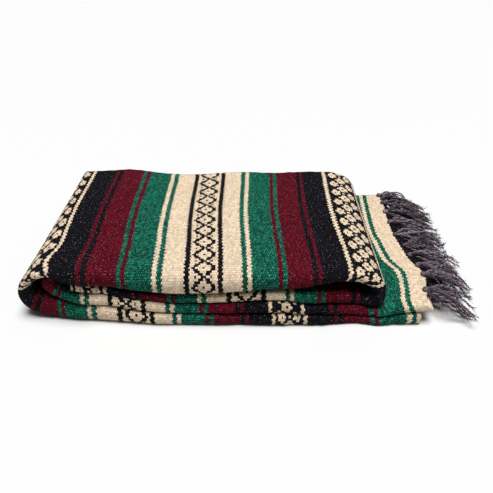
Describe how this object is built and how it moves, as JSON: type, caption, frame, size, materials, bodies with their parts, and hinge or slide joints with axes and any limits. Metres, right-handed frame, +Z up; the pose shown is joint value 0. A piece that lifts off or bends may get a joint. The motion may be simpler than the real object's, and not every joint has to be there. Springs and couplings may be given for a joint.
{
  "type": "folded mexican serape blanket",
  "caption": "Striped, fringed serape blanket of thick soft weave, folded flat into a low stack with fold loops along its front and one knotted fringe at its right.",
  "frame": {"origin": "middle of the underside of the folded blanket, on the surface it lies on, at the centre of its bounding box", "axes": "+X along the fold loops to the fringed end at the right, +Y from the front loops to the selvedges at the back, +Z up"},
  "size_m": [0.7244, 0.3576, 0.1027],
  "materials": {
    "falsa_weave": "weft-faced weave of thick recycled cotton and acrylic yarn, matt and slightly fuzzy, in cross stripes of cream, green, wine and black with bands of diamonds",
    "fringe_yarn": "soft grey plied yarn with frayed tips, matt"
  },
  "bodies": {
    "root": {"outer_cloth": "falsa_weave", "upper_cloth": "falsa_weave", "hidden_layers": "falsa_weave", "fringe_lowest": "fringe_yarn", "fringe_second": "fringe_yarn", "fringe_third": "fringe_yarn", "fringe_top": "fringe_yarn"}
  },
  "joints": []
}
